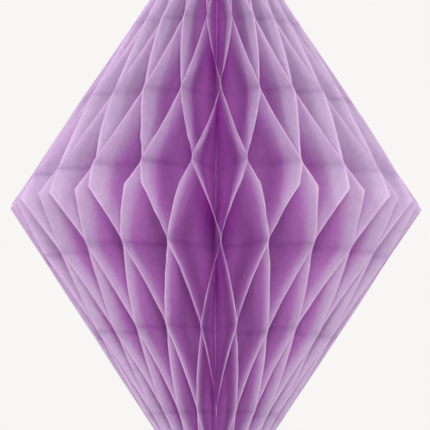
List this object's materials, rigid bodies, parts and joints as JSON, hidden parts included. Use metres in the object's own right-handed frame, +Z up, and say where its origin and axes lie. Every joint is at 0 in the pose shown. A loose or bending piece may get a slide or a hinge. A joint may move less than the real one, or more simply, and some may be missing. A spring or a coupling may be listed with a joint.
{
  "type": "paper honeycomb diamond",
  "caption": "Hanging tissue-paper honeycomb decoration, a diamond in outline, that opens like a round fan from a flat half-diamond between two card covers.",
  "frame": {"origin": "the top of the hanging eye's hole, where the cord that holds the part up bears on it; the spine hangs straight down from it", "axes": "+Z up along the spine; +Y to the seam where the two covers meet; -Y to the middle of the fan, the front"},
  "size_m": [0.2012, 0.1995, 0.3259],
  "materials": {
    "tissue": "matte",
    "cover_card": "matte",
    "adhesive_tab": "satin",
    "thread": "matte"
  },
  "bodies": {
    "spine": {"spine_thread": "thread", "top_knot": "thread", "bottom_knot": "thread", "hanging_eye": "thread"},
    "right_cover": {"right_cover_card": "cover_card"},
    "left_cover": {"left_cover_card": "cover_card", "closure_tab_top": "adhesive_tab", "closure_tab_middle": "adhesive_tab", "closure_tab_bottom": "adhesive_tab"},
    "sheet_01": {"tissue_sheet_01": "tissue"},
    "sheet_02": {"tissue_sheet_02": "tissue"},
    "sheet_03": {"tissue_sheet_03": "tissue"},
    "sheet_04": {"tissue_sheet_04": "tissue"},
    "sheet_05": {"tissue_sheet_05": "tissue"},
    "sheet_06": {"tissue_sheet_06": "tissue"},
    "sheet_07": {"tissue_sheet_07": "tissue"},
    "sheet_08": {"tissue_sheet_08": "tissue"},
    "sheet_09": {"tissue_sheet_09": "tissue"},
    "sheet_10": {"tissue_sheet_10": "tissue"},
    "sheet_11": {"tissue_sheet_11": "tissue"},
    "sheet_12": {"tissue_sheet_12": "tissue"},
    "sheet_13": {"tissue_sheet_13": "tissue"},
    "sheet_14": {"tissue_sheet_14": "tissue"},
    "sheet_15": {"tissue_sheet_15": "tissue"},
    "sheet_16": {"tissue_sheet_16": "tissue"},
    "sheet_17": {"tissue_sheet_17": "tissue"},
    "sheet_18": {"tissue_sheet_18": "tissue"},
    "sheet_19": {"tissue_sheet_19": "tissue"},
    "sheet_20": {"tissue_sheet_20": "tissue"},
    "sheet_21": {"tissue_sheet_21": "tissue"},
    "sheet_22": {"tissue_sheet_22": "tissue"},
    "sheet_23": {"tissue_sheet_23": "tissue"},
    "sheet_24": {"tissue_sheet_24": "tissue"},
    "sheet_25": {"tissue_sheet_25": "tissue"},
    "sheet_26": {"tissue_sheet_26": "tissue"},
    "sheet_27": {"tissue_sheet_27": "tissue"},
    "sheet_28": {"tissue_sheet_28": "tissue"},
    "sheet_29": {"tissue_sheet_29": "tissue"},
    "sheet_30": {"tissue_sheet_30": "tissue"},
    "sheet_31": {"tissue_sheet_31": "tissue"},
    "sheet_32": {"tissue_sheet_32": "tissue"},
    "sheet_33": {"tissue_sheet_33": "tissue"},
    "sheet_34": {"tissue_sheet_34": "tissue"},
    "sheet_35": {"tissue_sheet_35": "tissue"},
    "sheet_36": {"tissue_sheet_36": "tissue"},
    "sheet_37": {"tissue_sheet_37": "tissue"},
    "sheet_38": {"tissue_sheet_38": "tissue"},
    "sheet_39": {"tissue_sheet_39": "tissue"},
    "sheet_40": {"tissue_sheet_40": "tissue"},
    "sheet_41": {"tissue_sheet_41": "tissue"},
    "sheet_42": {"tissue_sheet_42": "tissue"},
    "sheet_43": {"tissue_sheet_43": "tissue"},
    "sheet_44": {"tissue_sheet_44": "tissue"}
  },
  "joints": [
    {"name": "fan_open", "type": "hinge", "parent": "spine", "child": "right_cover", "pos_m": [0.0013, 0, 0], "axis": [0, 0, 1], "range_deg": [-180, 0]},
    {"name": "left_cover_fold", "type": "hinge", "parent": "spine", "child": "left_cover", "pos_m": [-0.0013, 0, 0], "axis": [0, 0, 1], "range_deg": [0, 180]},
    {"name": "sheet_01_fold", "type": "hinge", "parent": "spine", "child": "sheet_01", "pos_m": [-0.00127, 0, 0], "axis": [0, 0, 1], "range_deg": [0, 175.92], "deforming": ["tissue_sheet_01"]},
    {"name": "sheet_02_fold", "type": "hinge", "parent": "spine", "child": "sheet_02", "pos_m": [-0.00121, 0, 0], "axis": [0, 0, 1], "range_deg": [0, 167.74], "deforming": ["tissue_sheet_02"]},
    {"name": "sheet_03_fold", "type": "hinge", "parent": "spine", "child": "sheet_03", "pos_m": [-0.00115, 0, 0], "axis": [0, 0, 1], "range_deg": [0, 159.56], "deforming": ["tissue_sheet_03"]},
    {"name": "sheet_04_fold", "type": "hinge", "parent": "spine", "child": "sheet_04", "pos_m": [-0.00109, 0, 0], "axis": [0, 0, 1], "range_deg": [0, 151.37], "deforming": ["tissue_sheet_04"]},
    {"name": "sheet_05_fold", "type": "hinge", "parent": "spine", "child": "sheet_05", "pos_m": [-0.00103, 0, 0], "axis": [0, 0, 1], "range_deg": [0, 143.19], "deforming": ["tissue_sheet_05"]},
    {"name": "sheet_06_fold", "type": "hinge", "parent": "spine", "child": "sheet_06", "pos_m": [-0.00097, 0, 0], "axis": [0, 0, 1], "range_deg": [0, 135.01], "deforming": ["tissue_sheet_06"]},
    {"name": "sheet_07_fold", "type": "hinge", "parent": "spine", "child": "sheet_07", "pos_m": [-0.00092, 0, 0], "axis": [0, 0, 1], "range_deg": [0, 126.83], "deforming": ["tissue_sheet_07"]},
    {"name": "sheet_08_fold", "type": "hinge", "parent": "spine", "child": "sheet_08", "pos_m": [-0.00086, 0, 0], "axis": [0, 0, 1], "range_deg": [0, 118.65], "deforming": ["tissue_sheet_08"]},
    {"name": "sheet_09_fold", "type": "hinge", "parent": "spine", "child": "sheet_09", "pos_m": [-0.0008, 0, 0], "axis": [0, 0, 1], "range_deg": [0, 110.47], "deforming": ["tissue_sheet_09"]},
    {"name": "sheet_10_fold", "type": "hinge", "parent": "spine", "child": "sheet_10", "pos_m": [-0.00074, 0, 0], "axis": [0, 0, 1], "range_deg": [0, 102.28], "deforming": ["tissue_sheet_10"]},
    {"name": "sheet_11_fold", "type": "hinge", "parent": "spine", "child": "sheet_11", "pos_m": [-0.00068, 0, 0], "axis": [0, 0, 1], "range_deg": [0, 94.1], "deforming": ["tissue_sheet_11"]},
    {"name": "sheet_12_fold", "type": "hinge", "parent": "spine", "child": "sheet_12", "pos_m": [-0.00062, 0, 0], "axis": [0, 0, 1], "range_deg": [0, 85.92], "deforming": ["tissue_sheet_12"]},
    {"name": "sheet_13_fold", "type": "hinge", "parent": "spine", "child": "sheet_13", "pos_m": [-0.00056, 0, 0], "axis": [0, 0, 1], "range_deg": [0, 77.74], "deforming": ["tissue_sheet_13"]},
    {"name": "sheet_14_fold", "type": "hinge", "parent": "spine", "child": "sheet_14", "pos_m": [-0.0005, 0, 0], "axis": [0, 0, 1], "range_deg": [0, 69.56], "deforming": ["tissue_sheet_14"]},
    {"name": "sheet_15_fold", "type": "hinge", "parent": "spine", "child": "sheet_15", "pos_m": [-0.00044, 0, 0], "axis": [0, 0, 1], "range_deg": [0, 61.37], "deforming": ["tissue_sheet_15"]},
    {"name": "sheet_16_fold", "type": "hinge", "parent": "spine", "child": "sheet_16", "pos_m": [-0.00038, 0, 0], "axis": [0, 0, 1], "range_deg": [0, 53.19], "deforming": ["tissue_sheet_16"]},
    {"name": "sheet_17_fold", "type": "hinge", "parent": "spine", "child": "sheet_17", "pos_m": [-0.00032, 0, 0], "axis": [0, 0, 1], "range_deg": [0, 45.01], "deforming": ["tissue_sheet_17"]},
    {"name": "sheet_18_fold", "type": "hinge", "parent": "spine", "child": "sheet_18", "pos_m": [-0.00027, 0, 0], "axis": [0, 0, 1], "range_deg": [0, 36.83], "deforming": ["tissue_sheet_18"]},
    {"name": "sheet_19_fold", "type": "hinge", "parent": "spine", "child": "sheet_19", "pos_m": [-0.00021, 0, 0], "axis": [0, 0, 1], "range_deg": [0, 28.65], "deforming": ["tissue_sheet_19"]},
    {"name": "sheet_20_fold", "type": "hinge", "parent": "spine", "child": "sheet_20", "pos_m": [-0.00015, 0, 0], "axis": [0, 0, 1], "range_deg": [0, 20.46], "deforming": ["tissue_sheet_20"]},
    {"name": "sheet_21_fold", "type": "hinge", "parent": "spine", "child": "sheet_21", "pos_m": [-0.00009, 0, 0], "axis": [0, 0, 1], "range_deg": [0, 12.28], "deforming": ["tissue_sheet_21"]},
    {"name": "sheet_22_fold", "type": "hinge", "parent": "spine", "child": "sheet_22", "pos_m": [-0.00003, 0, 0], "axis": [0, 0, 1], "range_deg": [0, 4.1], "deforming": ["tissue_sheet_22"]},
    {"name": "sheet_23_fold", "type": "hinge", "parent": "spine", "child": "sheet_23", "pos_m": [0.00003, 0, 0], "axis": [0, 0, 1], "range_deg": [-4.1, 0], "deforming": ["tissue_sheet_23"]},
    {"name": "sheet_24_fold", "type": "hinge", "parent": "spine", "child": "sheet_24", "pos_m": [0.00009, 0, 0], "axis": [0, 0, 1], "range_deg": [-12.28, 0], "deforming": ["tissue_sheet_24"]},
    {"name": "sheet_25_fold", "type": "hinge", "parent": "spine", "child": "sheet_25", "pos_m": [0.00015, 0, 0], "axis": [0, 0, 1], "range_deg": [-20.46, 0], "deforming": ["tissue_sheet_25"]},
    {"name": "sheet_26_fold", "type": "hinge", "parent": "spine", "child": "sheet_26", "pos_m": [0.00021, 0, 0], "axis": [0, 0, 1], "range_deg": [-28.65, 0], "deforming": ["tissue_sheet_26"]},
    {"name": "sheet_27_fold", "type": "hinge", "parent": "spine", "child": "sheet_27", "pos_m": [0.00027, 0, 0], "axis": [0, 0, 1], "range_deg": [-36.83, 0], "deforming": ["tissue_sheet_27"]},
    {"name": "sheet_28_fold", "type": "hinge", "parent": "spine", "child": "sheet_28", "pos_m": [0.00032, 0, 0], "axis": [0, 0, 1], "range_deg": [-45.01, 0], "deforming": ["tissue_sheet_28"]},
    {"name": "sheet_29_fold", "type": "hinge", "parent": "spine", "child": "sheet_29", "pos_m": [0.00038, 0, 0], "axis": [0, 0, 1], "range_deg": [-53.19, 0], "deforming": ["tissue_sheet_29"]},
    {"name": "sheet_30_fold", "type": "hinge", "parent": "spine", "child": "sheet_30", "pos_m": [0.00044, 0, 0], "axis": [0, 0, 1], "range_deg": [-61.37, 0], "deforming": ["tissue_sheet_30"]},
    {"name": "sheet_31_fold", "type": "hinge", "parent": "spine", "child": "sheet_31", "pos_m": [0.0005, 0, 0], "axis": [0, 0, 1], "range_deg": [-69.56, 0], "deforming": ["tissue_sheet_31"]},
    {"name": "sheet_32_fold", "type": "hinge", "parent": "spine", "child": "sheet_32", "pos_m": [0.00056, 0, 0], "axis": [0, 0, 1], "range_deg": [-77.74, 0], "deforming": ["tissue_sheet_32"]},
    {"name": "sheet_33_fold", "type": "hinge", "parent": "spine", "child": "sheet_33", "pos_m": [0.00062, 0, 0], "axis": [0, 0, 1], "range_deg": [-85.92, 0], "deforming": ["tissue_sheet_33"]},
    {"name": "sheet_34_fold", "type": "hinge", "parent": "spine", "child": "sheet_34", "pos_m": [0.00068, 0, 0], "axis": [0, 0, 1], "range_deg": [-94.1, 0], "deforming": ["tissue_sheet_34"]},
    {"name": "sheet_35_fold", "type": "hinge", "parent": "spine", "child": "sheet_35", "pos_m": [0.00074, 0, 0], "axis": [0, 0, 1], "range_deg": [-102.28, 0], "deforming": ["tissue_sheet_35"]},
    {"name": "sheet_36_fold", "type": "hinge", "parent": "spine", "child": "sheet_36", "pos_m": [0.0008, 0, 0], "axis": [0, 0, 1], "range_deg": [-110.47, 0], "deforming": ["tissue_sheet_36"]},
    {"name": "sheet_37_fold", "type": "hinge", "parent": "spine", "child": "sheet_37", "pos_m": [0.00086, 0, 0], "axis": [0, 0, 1], "range_deg": [-118.65, 0], "deforming": ["tissue_sheet_37"]},
    {"name": "sheet_38_fold", "type": "hinge", "parent": "spine", "child": "sheet_38", "pos_m": [0.00092, 0, 0], "axis": [0, 0, 1], "range_deg": [-126.83, 0], "deforming": ["tissue_sheet_38"]},
    {"name": "sheet_39_fold", "type": "hinge", "parent": "spine", "child": "sheet_39", "pos_m": [0.00097, 0, 0], "axis": [0, 0, 1], "range_deg": [-135.01, 0], "deforming": ["tissue_sheet_39"]},
    {"name": "sheet_40_fold", "type": "hinge", "parent": "spine", "child": "sheet_40", "pos_m": [0.00103, 0, 0], "axis": [0, 0, 1], "range_deg": [-143.19, 0], "deforming": ["tissue_sheet_40"]},
    {"name": "sheet_41_fold", "type": "hinge", "parent": "spine", "child": "sheet_41", "pos_m": [0.00109, 0, 0], "axis": [0, 0, 1], "range_deg": [-151.37, 0], "deforming": ["tissue_sheet_41"]},
    {"name": "sheet_42_fold", "type": "hinge", "parent": "spine", "child": "sheet_42", "pos_m": [0.00115, 0, 0], "axis": [0, 0, 1], "range_deg": [-159.56, 0], "deforming": ["tissue_sheet_42"]},
    {"name": "sheet_43_fold", "type": "hinge", "parent": "spine", "child": "sheet_43", "pos_m": [0.00121, 0, 0], "axis": [0, 0, 1], "range_deg": [-167.74, 0], "deforming": ["tissue_sheet_43"]},
    {"name": "sheet_44_fold", "type": "hinge", "parent": "spine", "child": "sheet_44", "pos_m": [0.00127, 0, 0], "axis": [0, 0, 1], "range_deg": [-175.92, 0], "deforming": ["tissue_sheet_44"]}
  ],
  "couplings": [
    {"joint": "left_cover_fold", "follows": "fan_open", "ratio": -1},
    {"joint": "sheet_01_fold", "follows": "fan_open", "ratio": -0.97727},
    {"joint": "sheet_02_fold", "follows": "fan_open", "ratio": -0.93182},
    {"joint": "sheet_03_fold", "follows": "fan_open", "ratio": -0.88636},
    {"joint": "sheet_04_fold", "follows": "fan_open", "ratio": -0.84091},
    {"joint": "sheet_05_fold", "follows": "fan_open", "ratio": -0.79545},
    {"joint": "sheet_06_fold", "follows": "fan_open", "ratio": -0.75},
    {"joint": "sheet_07_fold", "follows": "fan_open", "ratio": -0.70455},
    {"joint": "sheet_08_fold", "follows": "fan_open", "ratio": -0.65909},
    {"joint": "sheet_09_fold", "follows": "fan_open", "ratio": -0.61364},
    {"joint": "sheet_10_fold", "follows": "fan_open", "ratio": -0.56818},
    {"joint": "sheet_11_fold", "follows": "fan_open", "ratio": -0.52273},
    {"joint": "sheet_12_fold", "follows": "fan_open", "ratio": -0.47727},
    {"joint": "sheet_13_fold", "follows": "fan_open", "ratio": -0.43182},
    {"joint": "sheet_14_fold", "follows": "fan_open", "ratio": -0.38636},
    {"joint": "sheet_15_fold", "follows": "fan_open", "ratio": -0.34091},
    {"joint": "sheet_16_fold", "follows": "fan_open", "ratio": -0.29545},
    {"joint": "sheet_17_fold", "follows": "fan_open", "ratio": -0.25},
    {"joint": "sheet_18_fold", "follows": "fan_open", "ratio": -0.20455},
    {"joint": "sheet_19_fold", "follows": "fan_open", "ratio": -0.15909},
    {"joint": "sheet_20_fold", "follows": "fan_open", "ratio": -0.11364},
    {"joint": "sheet_21_fold", "follows": "fan_open", "ratio": -0.068182},
    {"joint": "sheet_22_fold", "follows": "fan_open", "ratio": -0.022727},
    {"joint": "sheet_23_fold", "follows": "fan_open", "ratio": 0.022727},
    {"joint": "sheet_24_fold", "follows": "fan_open", "ratio": 0.068182},
    {"joint": "sheet_25_fold", "follows": "fan_open", "ratio": 0.11364},
    {"joint": "sheet_26_fold", "follows": "fan_open", "ratio": 0.15909},
    {"joint": "sheet_27_fold", "follows": "fan_open", "ratio": 0.20455},
    {"joint": "sheet_28_fold", "follows": "fan_open", "ratio": 0.25},
    {"joint": "sheet_29_fold", "follows": "fan_open", "ratio": 0.29545},
    {"joint": "sheet_30_fold", "follows": "fan_open", "ratio": 0.34091},
    {"joint": "sheet_31_fold", "follows": "fan_open", "ratio": 0.38636},
    {"joint": "sheet_32_fold", "follows": "fan_open", "ratio": 0.43182},
    {"joint": "sheet_33_fold", "follows": "fan_open", "ratio": 0.47727},
    {"joint": "sheet_34_fold", "follows": "fan_open", "ratio": 0.52273},
    {"joint": "sheet_35_fold", "follows": "fan_open", "ratio": 0.56818},
    {"joint": "sheet_36_fold", "follows": "fan_open", "ratio": 0.61364},
    {"joint": "sheet_37_fold", "follows": "fan_open", "ratio": 0.65909},
    {"joint": "sheet_38_fold", "follows": "fan_open", "ratio": 0.70455},
    {"joint": "sheet_39_fold", "follows": "fan_open", "ratio": 0.75},
    {"joint": "sheet_40_fold", "follows": "fan_open", "ratio": 0.79545},
    {"joint": "sheet_41_fold", "follows": "fan_open", "ratio": 0.84091},
    {"joint": "sheet_42_fold", "follows": "fan_open", "ratio": 0.88636},
    {"joint": "sheet_43_fold", "follows": "fan_open", "ratio": 0.93182},
    {"joint": "sheet_44_fold", "follows": "fan_open", "ratio": 0.97727}
  ]
}
